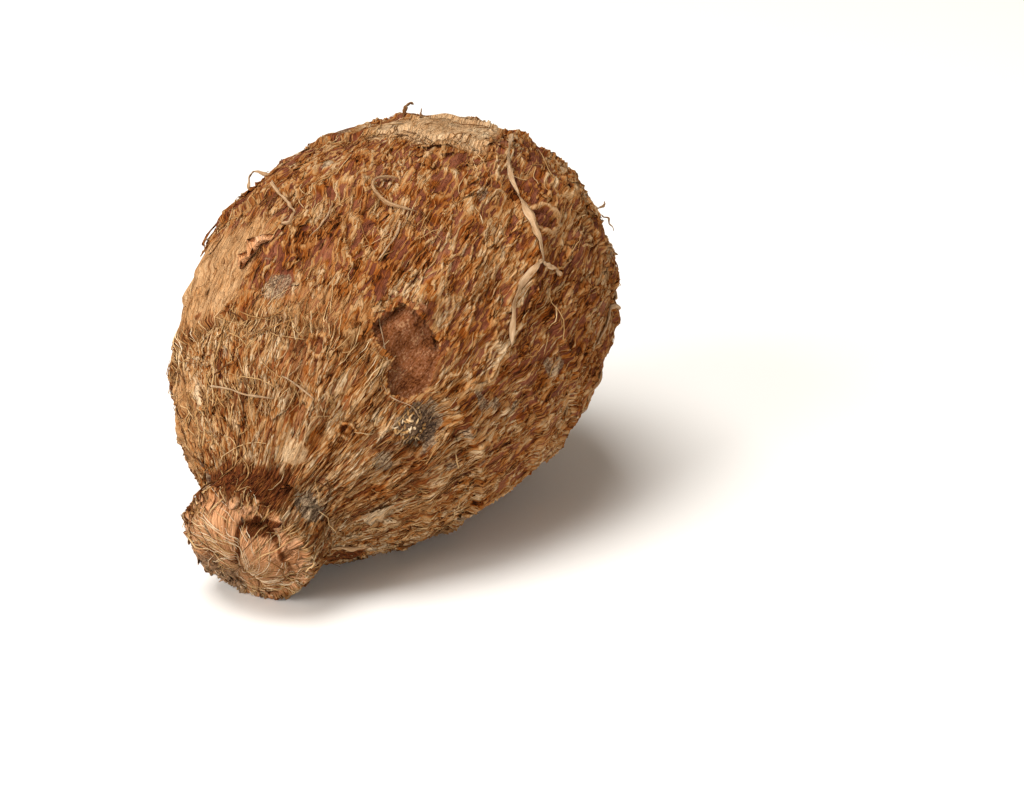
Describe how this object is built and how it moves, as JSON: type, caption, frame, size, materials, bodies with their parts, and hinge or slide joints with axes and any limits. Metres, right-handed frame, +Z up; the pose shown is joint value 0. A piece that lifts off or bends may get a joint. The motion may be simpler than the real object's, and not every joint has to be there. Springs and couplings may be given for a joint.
{
  "type": "malanga root",
  "caption": "Whole malanga corm: a brown, corky egg-shaped root with a stubby neck, leaf-scar rings and thin rootlets, lying on its side.",
  "frame": {"origin": "centre of the corm's box in plan, at the level of the surface it rests on", "axes": "+Y along the corm's length, from the neck towards the crown; +Z up from the surface it lies on; +X to the right when looking from the neck"},
  "size_m": [0.1068, 0.1424, 0.0963],
  "materials": {
    "corky_skin": "rough, fibrous, matt bark"
  },
  "bodies": {
    "root": {"corm": "corky_skin"}
  },
  "joints": []
}
